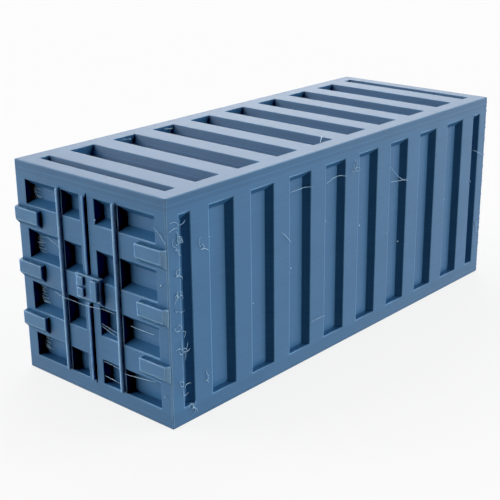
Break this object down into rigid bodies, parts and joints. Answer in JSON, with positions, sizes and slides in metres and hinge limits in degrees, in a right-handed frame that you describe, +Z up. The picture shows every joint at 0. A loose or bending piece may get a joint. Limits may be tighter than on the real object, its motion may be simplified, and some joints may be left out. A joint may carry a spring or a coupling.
{
  "type": "toy shipping container",
  "caption": "Hollow scale model of a ribbed freight container, printed in matte plastic, with slotted sides and roof and fixed double doors with lock bars and hinge straps.",
  "frame": {"origin": "middle of the flat underside of the box, the hinge straps and lock box left out", "axes": "+Z up, +Y along the length from the doors to the blind end, +X across to the right of someone facing the doors"},
  "size_m": [0.0488, 0.1269, 0.0516],
  "materials": {
    "printed_plastic": "blue-grey filament with a soft sheen and fine layer lines"
  },
  "bodies": {
    "root": {"front_left_post": "printed_plastic", "back_left_post": "printed_plastic", "front_right_post": "printed_plastic", "back_right_post": "printed_plastic", "left_bottom_rail": "printed_plastic", "left_top_rail": "printed_plastic", "right_bottom_rail": "printed_plastic", "right_top_rail": "printed_plastic", "door_sill": "printed_plastic", "door_header": "printed_plastic", "back_sill": "printed_plastic", "back_header": "printed_plastic", "floor_panel": "printed_plastic", "left_side_wall": "printed_plastic", "right_side_wall": "printed_plastic", "roof_panel": "printed_plastic", "back_wall": "printed_plastic", "left_door": "printed_plastic", "right_door": "printed_plastic", "lower_door_lip": "printed_plastic", "upper_door_lip": "printed_plastic", "left_lock_bar": "printed_plastic", "right_lock_bar": "printed_plastic", "left_bottom_hinge": "printed_plastic", "left_middle_hinge": "printed_plastic", "left_top_hinge": "printed_plastic", "right_bottom_hinge": "printed_plastic", "right_middle_hinge": "printed_plastic", "right_top_hinge": "printed_plastic", "lock_plate": "printed_plastic", "upper_lock_lug": "printed_plastic", "lower_lock_lug": "printed_plastic", "lock_block": "printed_plastic"}
  },
  "joints": []
}
